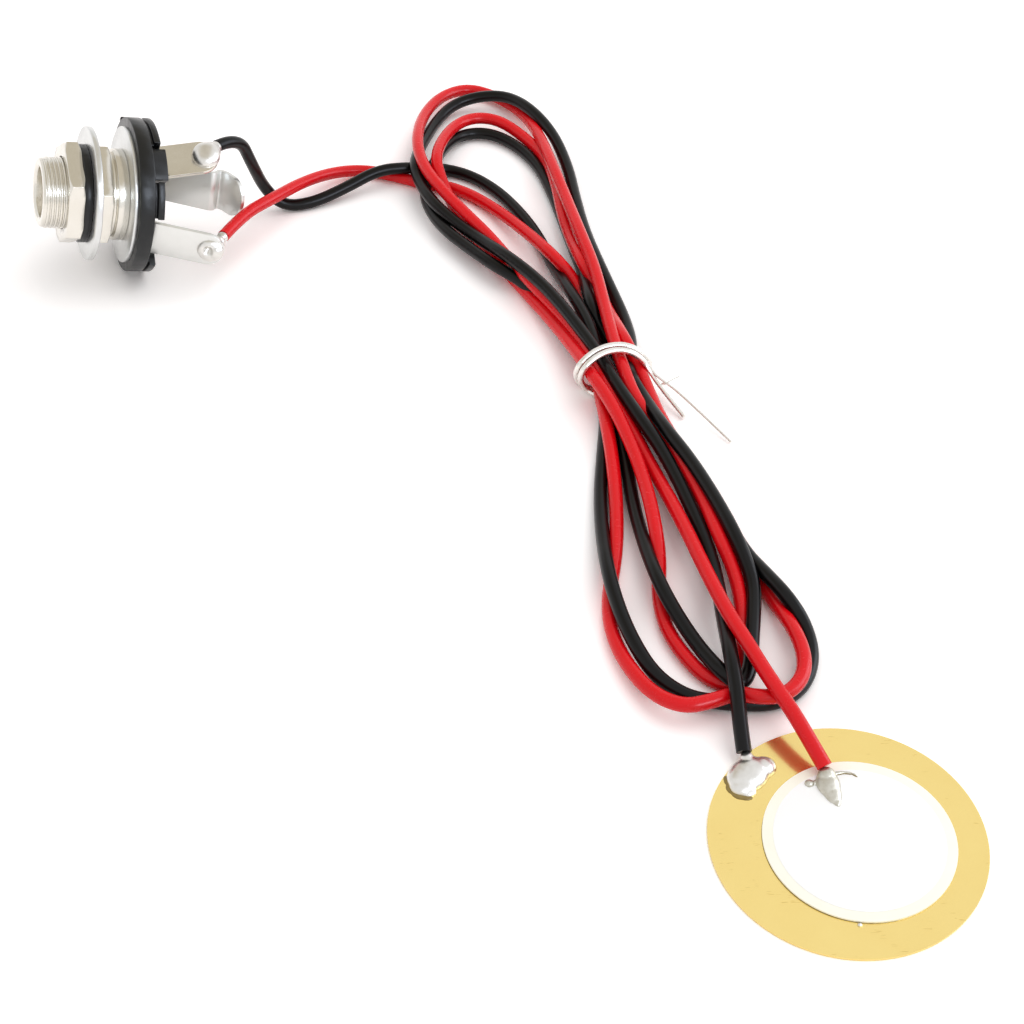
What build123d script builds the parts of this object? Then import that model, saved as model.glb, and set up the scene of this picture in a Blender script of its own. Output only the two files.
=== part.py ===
from build123d import *
import math
import os

# Pickup disc
brass_dia = 27.0
brass_thick = 0.25
brass_border = 4.15
ceramic_thick = 0.25
ceramic_shift = (1.1, -0.3)
ceramic_border = 1.05
electrode_thick = 0.05

# Wires: routes are lists of points from the soldered end to the hank
wire_dia = 1.6
bend_share = 0.45
red_jack_points = [
    (-69.7, 91.2, 5.2),
    (-67.6, 96.1, 5.2),
    (-64.4, 100.2, 4.7),
    (-60.8, 106.3, 3.3),
    (-57.0, 111.2, 1.6),
    (-52.7, 112.9, 0.8),
    (-48.3, 111.3, 0.8),
    (-44.5, 109.5, 0.8),
]
black_jack_points = [
    (-70.3, 97.7, 14.6),
    (-67.8, 100.6, 14.2),
    (-66.8, 102.2, 9.0),
    (-65.9, 104.7, 3.4),
    (-63.5, 104.2, 0.8),
    (-59.6, 104.9, 0.8),
    (-55.2, 107.3, 1.6),
    (-50.8, 110.2, 2.6),
    (-46.7, 111.1, 2.4),
    (-43.5, 112.4, 1.4),
]
red_disc_points = [
    (-1.4, 7.7, 1.4),
    (-2.7, 9.9, 2.6),
    (-4.3, 13.1, 3.6),
    (-6.3, 16.9, 4.2),
]
black_disc_points = [
    (-9.2, 9.6, 1.3),
    (-9.5, 12.4, 2.6),
    (-9.5, 15.9, 3.4),
]

# Hank: outline seen from above, its openings, and the twist tie at its waist
hank_height = 5.2
hank_outline = [
    (-38.8, 136.2),
    (-33.0, 133.4),
    (-28.2, 128.0),
    (-24.9, 121.2),
    (-23.0, 113.0),
    (-20.9, 98.0),
    (-18.1, 84.5),
    (-16.9, 72.8),
    (-15.5, 66.6),
    (-12.4, 59.0),
    (-8.0, 46.5),
    (-4.6, 37.6),
    (-0.2, 31.0),
    (1.1, 25.0),
    (0.6, 18.4),
    (-3.2, 14.8),
    (-10.4, 14.6),
    (-15.0, 13.4),
    (-19.4, 15.8),
    (-22.4, 21.0),
    (-23.4, 28.6),
    (-23.0, 35.0),
    (-23.5, 46.0),
    (-23.0, 58.0),
    (-23.5, 64.8),
    (-24.9, 71.0),
    (-29.0, 78.6),
    (-36.4, 87.4),
    (-43.0, 94.6),
    (-46.0, 101.4),
    (-47.4, 110.0),
    (-47.2, 120.6),
    (-44.6, 131.6),
]
hank_openings = [
    [
        (-36.4, 121.6),
        (-31.4, 118.6),
        (-28.7, 112.0),
        (-26.6, 100.0),
        (-24.8, 85.2),
        (-31.4, 93.2),
        (-37.6, 100.4),
        (-41.4, 107.6),
        (-41.4, 115.4),
        (-39.6, 120.4),
    ],
    [
        (-19.5, 43.0),
        (-18.2, 36.0),
        (-17.2, 30.0),
        (-16.6, 25.6),
        (-12.6, 18.6),
        (-17.2, 21.2),
        (-19.2, 25.2),
        (-20.6, 30.0),
        (-20.0, 36.4),
    ],
    [
        (-15.9, 44.0),
        (-13.4, 38.0),
        (-11.8, 32.0),
        (-10.9, 26.0),
        (-10.9, 21.6),
        (-14.4, 28.0),
        (-15.4, 33.6),
        (-15.8, 39.0),
    ],
    [
        (-4.4, 31.2),
        (-3.0, 26.4),
        (-2.4, 22.4),
        (-3.2, 19.4),
        (-6.2, 18.4),
        (-5.0, 23.6),
        (-4.6, 28.0),
    ],
]
tie_center = (-20.0, 68.7)
tie_direction = (0.22, -0.975)
tie_inner_width = 8.0
tie_band_thick = 0.5
tie_band_width = 1.2
tie_corner = 1.6
tie_tail_dia = 0.5
tie_long_tail = [
    (-15.7, 69.7, 2.0),
    (-13.6, 66.8, 1.4),
    (-6.4, 56.6, 0.3),
]
tie_short_tail = [
    (-15.7, 69.7, 3.2),
    (-14.2, 65.4, 2.2),
    (-11.8, 61.3, 0.4),
]

# Jack: pose of its axis, then stations along the axis from the rear of the insulator
jack_reach = (-80.5, 94.2)
jack_yaw = 18.8
jack_tilt = 14.5
insulator_dia = 19.6
insulator_thick = 1.85
rear_washer_dia = 17.3
rear_washer_thick = 0.5
shoulder_dia = 11.6
shoulder_length = 2.1
rear_nut_thick = 1.75
front_washer_dia = 16.9
front_washer_thick = 0.75
ring_dia = 12.4
ring_thick = 1.05
front_nut_thick = 2.0
free_thread_length = 2.8
thread_dia = 9.0
bore_dia = 6.4
stem_wall = 0.8
hole_clearance = 0.2
nut_sides = 6
nut_flats = 12.0
front_nut_turn = 38.0
rear_nut_turn = 30.0
nut_chamfer_reach = 0.6
nut_chamfer_depth = 0.3
edge_break = 0.4

# Insulator tabs, each with its middle angle and arc, and the boss beside the sleeve lug
tabs = [(28.0, 28.0), (98.0, 48.0), (208.0, 28.0), (308.0, 40.0)]
tab_length = 1.2
tab_wall = 1.8
tab_neck_step = 0.5
tab_neck_length = 0.35
gate_width = 0.9
gate_height = 0.35
gate_turn = 137.0
boss_turn = 57.0
boss_arc = 26.0
boss_length = 1.75
boss_step = 0.4
boss_clear = 1.5

# Contacts
sheet_thick = 0.5
lug_width = 5.0
end_round_share = 0.47
lug_hole_dia = 1.6
flare_lip = 0.8
flare_length = 0.5
base_gap = 0.2
base_width = 0.9
contact_gap = 1.1
sleeve_turn = 73.0
sleeve_lap = 0.9
sleeve_foot = 0.1
sleeve_splay = 2.1
sleeve_length = 8.8
sleeve_hole_share = 0.76
tip_turn = -10.0
tip_foot = 0.1
tip_splay = 2.6
tip_length = 9.2
tip_hole_share = 0.82
spring_turn = 187.0
spring_width = 5.4
spring_foot = 0.7
spring_length = 13.4
spring_shares = [(0.25, 0.76), (0.40, 0.82), (0.31, 0.88), (-0.22, 1.0)]

# Solder joints
solder_margin = 0.1
brass_solder_turn = 139.0
brass_solder_dia = 4.5
brass_solder_height = 1.5
ceramic_solder_turn = 105.0
ceramic_solder_dia = 3.8
ceramic_solder_height = 1.4
sleeve_solder_dia = 4.2
sleeve_solder_sink = 0.6
tip_solder_dia = 3.4
tip_solder_sink = 0.4
conductor_dia = 0.9
overrun = 1.0

os.makedirs("parts", exist_ok=True)


def corner_radii(points, closed):
    """Radius of the arc at each corner of a route: a share of the shorter run."""
    vectors = [Vector(*point) for point in points]
    count = len(vectors)
    corners = range(count) if closed else range(1, count - 1)
    radii = []
    for index in corners:
        run_in = vectors[index] - vectors[index - 1]
        run_out = vectors[(index + 1) % count] - vectors[index]
        shorter = min(run_in.length, run_out.length)
        turn = math.radians(run_in.get_angle(run_out))
        radii.append(bend_share * shorter / math.tan(turn / 2))
    return radii


def flat_plane(line_start, line_direction):
    """Plane square to a route at one of its ends."""
    return Plane(origin=line_start, z_dir=line_direction)


# Axis frame of the jack: x to the near side, y up, z out of the front
yaw = math.radians(jack_yaw)
tilt = math.radians(jack_tilt)
jack_front = Vector(-math.cos(tilt) * math.cos(yaw), -math.cos(tilt) * math.sin(yaw), math.sin(tilt))
jack_side = Vector(math.sin(yaw), -math.cos(yaw), 0)
jack_height = insulator_dia / 2 * math.cos(tilt)
jack_plane = Plane(origin=(*jack_reach, jack_height), x_dir=jack_side, z_dir=jack_front)

# Diameters that follow one another outward from the bore and inward from the insulator
stem_dia = bore_dia + 2 * stem_wall
stem_hole_dia = stem_dia + hole_clearance
thread_hole_dia = thread_dia + hole_clearance
flare_dia = stem_dia + 2 * flare_lip
tab_inner_dia = insulator_dia - 2 * tab_wall
tab_neck_dia = insulator_dia - 2 * tab_neck_step
base_outer_dia = tab_inner_dia - 2 * base_gap
base_inner_dia = base_outer_dia - 2 * base_width
sleeve_ring_dia = base_inner_dia - 2 * contact_gap
boss_outer_dia = insulator_dia - 2 * boss_step
boss_inner_dia = sleeve_ring_dia + 2 * boss_clear

# Stations along the axis
washer_face = insulator_thick
shoulder_face = washer_face + rear_washer_thick
rear_nut_face = shoulder_face + shoulder_length
front_washer_face = rear_nut_face + rear_nut_thick
ring_face = front_washer_face + front_washer_thick
front_nut_face = ring_face + ring_thick
thread_face = front_nut_face + front_nut_thick
front_end = thread_face + free_thread_length
flare_end = sheet_thick + flare_length


def spoke_plane(turn):
    """Plane through the axis at an angle: x outward, y toward the rear."""
    angle = math.radians(turn)
    outward = jack_plane.x_dir * math.cos(angle) + jack_plane.y_dir * math.sin(angle)
    around = jack_plane.y_dir * math.cos(angle) - jack_plane.x_dir * math.sin(angle)
    return Plane(origin=jack_plane.origin, x_dir=outward, z_dir=around)


def station(distance):
    """Plane square to the axis at a distance ahead of the insulator's rear."""
    return jack_plane.offset(distance)


def lug_hole_plane(turn, path, share):
    """Plane in the middle of a lug's sheet at its hole, z outward."""
    spoke = spoke_plane(turn)
    start = Vector(*path[-2])
    end = Vector(*path[-1])
    run = (end - start).normalized()
    middle = start + (end - start) * share
    outward = spoke.x_dir * run.Y - spoke.y_dir * run.X
    return Plane(origin=spoke.from_local_coords(middle), x_dir=spoke.z_dir, z_dir=outward)


# Brass disc
with BuildPart() as brass_disc:
    with BuildSketch():
        Circle(brass_dia / 2)
    extrude(amount=brass_thick)
brass_disc.part.label = "brass_disc"
export_step(brass_disc.part, "parts/brass_disc.step")

# Ceramic disc, bonded off centre
ceramic_dia = brass_dia - 2 * brass_border
ceramic_top = brass_thick + ceramic_thick
with BuildPart() as piezo_ceramic:
    with BuildSketch(Plane.XY.offset(brass_thick)):
        with Locations(ceramic_shift):
            Circle(ceramic_dia / 2)
    extrude(amount=ceramic_thick)
piezo_ceramic.part.label = "piezo_ceramic"
export_step(piezo_ceramic.part, "parts/piezo_ceramic.step")

# Silvered face of the ceramic
electrode_dia = ceramic_dia - 2 * ceramic_border
electrode_top = ceramic_top + electrode_thick
with BuildPart() as silver_electrode:
    with BuildSketch(Plane.XY.offset(ceramic_top)):
        with Locations(ceramic_shift):
            Circle(electrode_dia / 2)
    extrude(amount=electrode_thick)
silver_electrode.part.label = "silver_electrode"
export_step(silver_electrode.part, "parts/silver_electrode.step")

# Twist tie round the waist of the hank, with its two tails
tie_axis = Vector(*tie_direction, 0).normalized()
tie_across = Vector(-tie_axis.Y, tie_axis.X, 0)
tie_middle = hank_height / 2
tie_start = Vector(*tie_center, tie_middle) - tie_axis * (tie_band_width / 2)
tie_plane = Plane(origin=tie_start, x_dir=tie_across, z_dir=tie_axis)
tie_inner_height = hank_height - 2 * tie_band_thick
tie_outer_width = tie_inner_width + 2 * tie_band_thick
with BuildPart() as twist_tie:
    with BuildSketch(tie_plane):
        RectangleRounded(tie_outer_width, hank_height, tie_corner)
        RectangleRounded(tie_inner_width, tie_inner_height, tie_corner - tie_band_thick, mode=Mode.SUBTRACT)
    extrude(amount=tie_band_width)
    for tail in (tie_long_tail, tie_short_tail):
        with BuildLine() as tail_line:
            FilletPolyline(*tail, radius=corner_radii(tail, False))
        with BuildSketch(flat_plane(tail_line.line @ 0, tail_line.line % 0)):
            Circle(tie_tail_dia / 2)
        sweep(path=tail_line.line)
twist_tie.part.label = "twist_tie"
export_step(twist_tie.part, "parts/twist_tie.step")

# Hank of both wires, one closed shape that the tie is let into
tie_slot_width = tie_outer_width + 2 * overrun
tie_slot_height = hank_height + 2 * overrun
with BuildPart() as wire_hank:
    with BuildSketch():
        with BuildLine():
            FilletPolyline(*hank_outline, radius=corner_radii(hank_outline, True), close=True)
        make_face()
        for opening in hank_openings:
            with BuildLine():
                FilletPolyline(*opening, radius=corner_radii(opening, True), close=True)
            make_face(mode=Mode.SUBTRACT)
    extrude(amount=hank_height)
    with BuildSketch(tie_plane):
        Rectangle(tie_slot_width, tie_slot_height)
        RectangleRounded(tie_inner_width, tie_inner_height, tie_corner - tie_band_thick, mode=Mode.SUBTRACT)
    extrude(amount=tie_band_width, mode=Mode.SUBTRACT)
wire_hank.part.label = "wire_hank"
export_step(wire_hank.part, "parts/wire_hank.step")


# Loose ends of the wires, cut where they run into the hank
wire_lines = {}
wire_routes = {
    "red_wire_jack_end": red_jack_points,
    "black_wire_jack_end": black_jack_points,
    "red_wire_disc_end": red_disc_points,
    "black_wire_disc_end": black_disc_points,
}
for wire_name, route in wire_routes.items():
    radii = corner_radii(route, False)
    with BuildPart() as loose_wire:
        with BuildLine() as wire_line:
            FilletPolyline(*route, radius=radii)
        with BuildSketch(flat_plane(wire_line.line @ 0, wire_line.line % 0)):
            Circle(wire_dia / 2)
        sweep()
        full_volume = loose_wire.part.volume
        add(wire_hank.part, mode=Mode.SUBTRACT)
    wire_lines[wire_name] = wire_line.line
    section = math.pi * wire_dia**2 / 4
    wire_length = sum(edge.length for edge in wire_line.edges())
    print(wire_name, "radii", [round(radius, 1) for radius in radii])
    print(wire_name, "volume share", round(full_volume / (section * wire_length), 4))
    loose_wire.part.label = wire_name
    export_step(loose_wire.part, f"parts/{wire_name}.step")


def add_conductor(wire_name, joint):
    """Run a wire's bare conductor from the end of its insulation to a joint."""
    line = wire_lines[wire_name]
    reach = joint - line @ 0
    with BuildSketch(flat_plane(line @ 0, line % 0)) as conductor:
        Circle(conductor_dia / 2)
    extrude(conductor.sketch, amount=reach.length, dir=reach)


def edge_spot(turn, carrier_dia, width):
    """Centre of a solder joint that lies just inside the edge of a round carrier."""
    reach = carrier_dia / 2 - width / 2 - solder_margin
    return Vector(reach * math.cos(math.radians(turn)), reach * math.sin(math.radians(turn)), 0)


# Solder of the two wires on the disc
brass_solder_at = edge_spot(brass_solder_turn, brass_dia, brass_solder_dia)
brass_solder_at += Vector(0, 0, brass_thick)
ceramic_solder_at = edge_spot(ceramic_solder_turn, electrode_dia, ceramic_solder_dia)
ceramic_solder_at += Vector(*ceramic_shift, electrode_top)
black_joint = (brass_solder_at, brass_solder_dia, brass_solder_height, "black_wire_disc_end")
red_joint = (ceramic_solder_at, ceramic_solder_dia, ceramic_solder_height, "red_wire_disc_end")
disc_joints = {"brass_solder": black_joint, "ceramic_solder": red_joint}
for joint_name, (spot, width, height, wire_name) in disc_joints.items():
    ball_radius = ((width / 2) ** 2 + height**2) / (2 * height)
    with BuildPart() as disc_solder:
        with Locations(spot + Vector(0, 0, height - ball_radius)):
            Sphere(ball_radius)
        add_conductor(wire_name, spot + Vector(0, 0, height / 2))
        split(bisect_by=Plane.XY.offset(spot.Z), keep=Keep.TOP)
    disc_solder.part.label = joint_name
    export_step(disc_solder.part, f"parts/{joint_name}.step")

# Bushing: thread, shoulder, stem through the insulator and flared rear end
with BuildPart() as jack_bushing:
    with BuildSketch(station(rear_nut_face)):
        Circle(thread_dia / 2)
    extrude(amount=front_end - rear_nut_face)
    front_rim = jack_bushing.faces().sort_by(Axis(jack_plane.origin, jack_plane.z_dir))[-1].edges()
    chamfer(front_rim, length=edge_break)
    with BuildSketch(station(shoulder_face)):
        Circle(shoulder_dia / 2)
    extrude(amount=shoulder_length)
    with BuildSketch(station(-flare_end)):
        Circle(stem_dia / 2)
    extrude(amount=flare_end + shoulder_face)
    with BuildSketch(station(-flare_end)):
        Circle(flare_dia / 2)
    extrude(amount=flare_length)
    with BuildSketch(station(-flare_end - overrun)):
        Circle(bore_dia / 2)
    extrude(amount=flare_end + front_end + 2 * overrun, mode=Mode.SUBTRACT)
jack_bushing.part.label = "jack_bushing"
export_step(jack_bushing.part, "parts/jack_bushing.step")

# Flat rings on the thread: two washers and the black ring
flat_rings = {
    "rear_washer": (washer_face, rear_washer_thick, rear_washer_dia, stem_hole_dia),
    "front_washer": (front_washer_face, front_washer_thick, front_washer_dia, thread_hole_dia),
    "black_ring": (ring_face, ring_thick, ring_dia, thread_hole_dia),
}
for ring_name, (face, thick, width, hole) in flat_rings.items():
    with BuildPart() as flat_ring:
        with BuildSketch(station(face)):
            Circle(width / 2)
            Circle(hole / 2, mode=Mode.SUBTRACT)
        extrude(amount=thick)
    flat_ring.part.label = ring_name
    export_step(flat_ring.part, f"parts/{ring_name}.step")

# Hexagon nuts with turned faces
nut_corner = nut_flats / 2 / math.cos(math.pi / nut_sides)
nuts = {
    "rear_nut": (rear_nut_face, rear_nut_thick, rear_nut_turn),
    "front_nut": (front_nut_face, front_nut_thick, front_nut_turn),
}
for nut_name, (face, thick, turn) in nuts.items():
    with BuildPart() as hex_nut:
        with BuildSketch(station(face)):
            RegularPolygon(nut_corner, nut_sides, rotation=turn)
        extrude(amount=thick)
        with BuildPart(mode=Mode.INTERSECT):
            with BuildSketch(station(face)):
                Circle(nut_corner)
            turned = extrude(amount=thick)
            rims = turned.edges().filter_by(GeomType.CIRCLE)
            chamfer(rims, length=nut_chamfer_depth, length2=nut_chamfer_reach)
        with BuildSketch(station(face - overrun)):
            Circle(thread_hole_dia / 2)
        extrude(amount=thick + 2 * overrun, mode=Mode.SUBTRACT)
    hex_nut.part.label = nut_name
    export_step(hex_nut.part, f"parts/{nut_name}.step")


def add_arc_block(middle_turn, arc, outer_dia, inner_dia, rear, deep):
    """Add a piece of a ring behind the insulator, from a rear station forward."""
    with BuildSketch(station(rear)) as block:
        with BuildLine():
            outer = CenterArc((0, 0), outer_dia / 2, middle_turn - arc / 2, arc)
            inner = CenterArc((0, 0), inner_dia / 2, middle_turn - arc / 2, arc)
            Line(outer @ 0, inner @ 0)
            Line(outer @ 1, inner @ 1)
        make_face()
    extrude(block.sketch, amount=deep)


# Insulator: disc, rear tabs on short necks, the boss, and the stub of its moulding gate
with BuildPart() as insulator_body:
    with BuildSketch(station(0)):
        Circle(insulator_dia / 2)
        Circle(stem_hole_dia / 2, mode=Mode.SUBTRACT)
    extrude(amount=insulator_thick)
    for tab_turn, tab_arc in tabs:
        add_arc_block(tab_turn, tab_arc, tab_neck_dia, tab_inner_dia, -tab_neck_length, tab_neck_length)
        tab_deep = tab_length - tab_neck_length
        add_arc_block(tab_turn, tab_arc, insulator_dia, tab_inner_dia, -tab_length, tab_deep)
    add_arc_block(boss_turn, boss_arc, boss_outer_dia, boss_inner_dia, -boss_length, boss_length)
    with BuildSketch(spoke_plane(gate_turn)):
        with Locations((insulator_dia / 2, -insulator_thick + gate_width / 2)):
            Rectangle(2 * gate_height, gate_width)
    extrude(amount=gate_width / 2, both=True)
insulator_body.part.label = "insulator_body"
export_step(insulator_body.part, "parts/insulator_body.step")


def add_strip(turn, path, width):
    """Sweep a strip of sheet along a path in the plane at an angle round the axis."""
    spoke = spoke_plane(turn)
    with BuildLine(spoke) as strip_line:
        FilletPolyline(*path, radius=corner_radii(path, False))
    start_plane = Plane(origin=strip_line.line @ 0, x_dir=spoke.z_dir, z_dir=strip_line.line % 0)
    with BuildSketch(start_plane) as strip_section:
        Rectangle(width, sheet_thick)
    sweep(sections=strip_section.sketch, path=strip_line.line)
    return strip_line.line @ 1


def round_end(builder, strip_end, width):
    """Round off the free end of a strip."""
    end_face = builder.faces().sort_by_distance(strip_end)[0]
    fillet(end_face.edges().sort_by(SortBy.LENGTH)[:2], radius=width * end_round_share)


def pierce(hole_plane):
    """Pierce the hole of a lug."""
    with BuildSketch(hole_plane) as hole:
        Circle(lug_hole_dia / 2)
    extrude(hole.sketch, amount=sheet_thick, both=True, mode=Mode.SUBTRACT)


# Sleeve contact: ring under the flared end, and its lug
half_sheet = sheet_thick / 2
sleeve_bend = sleeve_ring_dia / 2 + sleeve_foot
sleeve_path = [
    (sleeve_ring_dia / 2 - sleeve_lap, half_sheet),
    (sleeve_bend, half_sheet),
    (sleeve_bend + sleeve_splay, sleeve_length),
]
sleeve_hole_plane = lug_hole_plane(sleeve_turn, sleeve_path, sleeve_hole_share)
with BuildPart() as sleeve_lug:
    sleeve_end = add_strip(sleeve_turn, sleeve_path, lug_width)
    round_end(sleeve_lug, sleeve_end, lug_width)
    pierce(sleeve_hole_plane)
    with BuildSketch(station(-sheet_thick)):
        Circle(sleeve_ring_dia / 2)
    extrude(amount=sheet_thick)
    with BuildSketch(station(-sheet_thick - overrun)):
        Circle(stem_hole_dia / 2)
    extrude(amount=sheet_thick + 2 * overrun, mode=Mode.SUBTRACT)
sleeve_lug.part.label = "sleeve_lug"
export_step(sleeve_lug.part, "parts/sleeve_lug.step")

# Tip contact: lug, curved base and folded leaf spring in one strip of sheet
tip_bend = base_outer_dia / 2 - tip_foot
tip_path = [
    (base_inner_dia / 2, half_sheet),
    (tip_bend, half_sheet),
    (tip_bend + tip_splay, tip_length),
]
tip_hole_plane = lug_hole_plane(tip_turn, tip_path, tip_hole_share)
base_middle = (base_inner_dia + base_outer_dia) / 4
spring_root = math.sqrt((tab_inner_dia / 2 - base_gap / 2) ** 2 - (spring_width / 2) ** 2)
spring_bend = spring_root - spring_foot
spring_path = [(spring_root, half_sheet), (spring_bend, half_sheet)]
for reach_share, length_share in spring_shares:
    spring_path.append((spring_bend * reach_share, spring_length * length_share))
with BuildPart() as tip_contact:
    tip_end = add_strip(tip_turn, tip_path, lug_width)
    round_end(tip_contact, tip_end, lug_width)
    pierce(tip_hole_plane)
    spring_end = add_strip(spring_turn, spring_path, spring_width)
    round_end(tip_contact, spring_end, spring_width)
    with BuildLine(station(-half_sheet)) as base_line:
        CenterArc((0, 0), base_middle, spring_turn, 360 + tip_turn - spring_turn)
    base_start = Plane(origin=base_line.line @ 0, x_dir=jack_plane.z_dir, z_dir=base_line.line % 0)
    with BuildSketch(base_start):
        Rectangle(sheet_thick, base_width)
    sweep(path=base_line.line)
tip_contact.part.label = "tip_contact"
export_step(tip_contact.part, "parts/tip_contact.step")

# Solder of the two wires through the lugs
sleeve_ball = sleeve_hole_plane.offset(-sleeve_solder_sink)
tip_ball = tip_hole_plane.offset(-tip_solder_sink)
lug_joints = {
    "sleeve_solder": (sleeve_ball, sleeve_solder_dia, sleeve_lug, "black_wire_jack_end"),
    "tip_solder": (tip_ball, tip_solder_dia, tip_contact, "red_wire_jack_end"),
}
for joint_name, (ball_plane, width, lug, wire_name) in lug_joints.items():
    with BuildPart() as lug_solder:
        with Locations(ball_plane):
            Sphere(width / 2)
        add_conductor(wire_name, ball_plane.origin)
        add(lug.part, mode=Mode.SUBTRACT)
    lug_solder.part.label = joint_name
    export_step(lug_solder.part, f"parts/{joint_name}.step")
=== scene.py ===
"""A piezo pickup with its jack socket: finishes, solder, thread, tie and both wires at their full length."""

import logging
import math
from collections.abc import Sequence
from dataclasses import dataclass, field
from enum import Enum

import bmesh
import bpy
import numpy as np
from mathutils import Matrix, Vector


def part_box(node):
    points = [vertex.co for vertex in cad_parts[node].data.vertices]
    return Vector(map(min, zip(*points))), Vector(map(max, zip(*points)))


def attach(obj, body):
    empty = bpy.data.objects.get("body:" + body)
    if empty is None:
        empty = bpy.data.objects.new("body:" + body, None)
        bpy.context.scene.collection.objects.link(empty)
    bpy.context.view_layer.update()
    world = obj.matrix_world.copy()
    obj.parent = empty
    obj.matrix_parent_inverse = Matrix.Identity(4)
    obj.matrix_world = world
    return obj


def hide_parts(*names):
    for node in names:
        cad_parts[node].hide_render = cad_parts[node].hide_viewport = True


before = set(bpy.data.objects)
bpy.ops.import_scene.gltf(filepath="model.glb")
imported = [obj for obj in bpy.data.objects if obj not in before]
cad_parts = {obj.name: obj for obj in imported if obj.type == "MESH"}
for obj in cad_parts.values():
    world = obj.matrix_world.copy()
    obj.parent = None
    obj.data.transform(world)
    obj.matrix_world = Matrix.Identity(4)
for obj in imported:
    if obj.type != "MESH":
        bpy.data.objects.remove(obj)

LOG = logging.getLogger("piezo_pickup")
MM = 0.001
BODY = "root"
# Corners closer than these are one corner: on a CAD node, and in a new shape
WELD_MM = 0.002
MERGE_MM = 1e-5
BEVEL_SEGMENTS = 2
BEVEL_FROM_DEG = 32.0
BALL_SUBDIVISIONS = 4
SPLINE_ORDER = 3

Point = tuple[float, float, float]
Colour = tuple[float, float, float, float]


class Slot(Enum):
    """The record's material slots; each wire names one."""

    SOLDER = "solder"
    RED = "red_insulation"
    BLACK = "black_insulation"
    TIE = "tie_wire"
    NICKEL = "nickel"


def linear(colour: str) -> Colour:
    """Turn an sRGB hex colour into linear red, green, blue and alpha.

    Args:
        colour: Six hex digits with a leading hash.

    Returns:
        The linear colour with an alpha of one.
    """
    parts = [int(colour[start : start + 2], 16) / 255 for start in (1, 3, 5)]
    red, green, blue = (c / 12.92 if c <= 0.04045 else ((c + 0.055) / 1.055) ** 2.4 for c in parts)
    return red, green, blue, 1.0


def add_node(
    tree: bpy.types.NodeTree,
    kind: str,
    values: dict[str | int, object] | None = None,
    links: dict[str | int, bpy.types.NodeSocket] | None = None,
    **settings: object,
) -> bpy.types.Node:
    """Add one shader node with its settings, socket values and links.

    Args:
        tree: Node tree that the node goes into.
        kind: Blender's type name of the node.
        values: Input socket to constant value.
        links: Input socket to the output socket that feeds it.
        **settings: Attributes of the node.

    Returns:
        The new node.
    """
    node = tree.nodes.new(kind)
    for name, value in settings.items():
        setattr(node, name, value)
    for socket, value in (values or {}).items():
        node.inputs[socket].default_value = value
    for socket, source in (links or {}).items():
        tree.links.new(source, node.inputs[socket])
    return node


def top_of(node: str) -> float:
    """Height of a CAD node's top in millimetres."""
    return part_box(node)[1].z / MM


def per_size(size_mm: float) -> float:
    """Texture scale that gives features of a size in millimetres on coordinates in metres."""
    return 1 / (size_mm * MM)


@dataclass(frozen=True)
class Finish:
    """A surface: its shader values, patches of a second colour and a fine grain in relief."""

    name: str
    colour: str
    tint: str
    roughness: float
    roughness_swing: float
    patch_mm: float
    grain_mm: float
    relief_mm: float
    metallic: float = 0.0
    ior: float = 1.5
    patch_detail: float = 4.0
    grain_detail: float = 3.0

    def colour_output(self, tree: bpy.types.NodeTree, place: bpy.types.NodeSocket) -> bpy.types.NodeSocket:
        """Mix the colour and its tint in soft patches.

        Args:
            tree: Node tree of the material.
            place: Output socket with the surface's coordinates.

        Returns:
            The colour's output socket.
        """
        patches = add_node(
            tree,
            "ShaderNodeTexNoise",
            {"Scale": per_size(self.patch_mm), "Detail": self.patch_detail},
            {"Vector": place},
        )
        mixed = add_node(
            tree,
            "ShaderNodeMixRGB",
            {"Color1": linear(self.colour), "Color2": linear(self.tint)},
            {"Fac": patches.outputs["Fac"]},
        )
        return mixed.outputs["Color"]

    def height_output(self, tree: bpy.types.NodeTree, place: bpy.types.NodeSocket) -> bpy.types.NodeSocket:
        """Height of the grain, from zero to one.

        Args:
            tree: Node tree of the material.
            place: Output socket with the surface's coordinates.

        Returns:
            The height's output socket.
        """
        grain = add_node(
            tree,
            "ShaderNodeTexNoise",
            {"Scale": per_size(self.grain_mm), "Detail": self.grain_detail},
            {"Vector": place},
        )
        return grain.outputs["Fac"]

    def build(self) -> bpy.types.Material:
        """Make the material.

        Returns:
            The finished material.
        """
        material = bpy.data.materials.new(self.name)
        material.use_nodes = True
        tree = material.node_tree
        shader = tree.nodes["Principled BSDF"]
        shader.inputs["Metallic"].default_value = self.metallic
        shader.inputs["IOR"].default_value = self.ior
        place = add_node(tree, "ShaderNodeTexCoord").outputs["Object"]
        height = self.height_output(tree, place)
        smoothest = self.roughness - self.roughness_swing
        roughest = self.roughness + self.roughness_swing
        rough = add_node(
            tree, "ShaderNodeMapRange", {"To Min": smoothest, "To Max": roughest}, {"Value": height}
        )
        bump = add_node(
            tree, "ShaderNodeBump", {"Strength": 1.0, "Distance": self.relief_mm * MM}, {"Height": height}
        )
        tree.links.new(self.colour_output(tree, place), shader.inputs["Base Color"])
        tree.links.new(rough.outputs["Result"], shader.inputs["Roughness"])
        tree.links.new(bump.outputs["Normal"], shader.inputs["Normal"])
        return material


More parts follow.
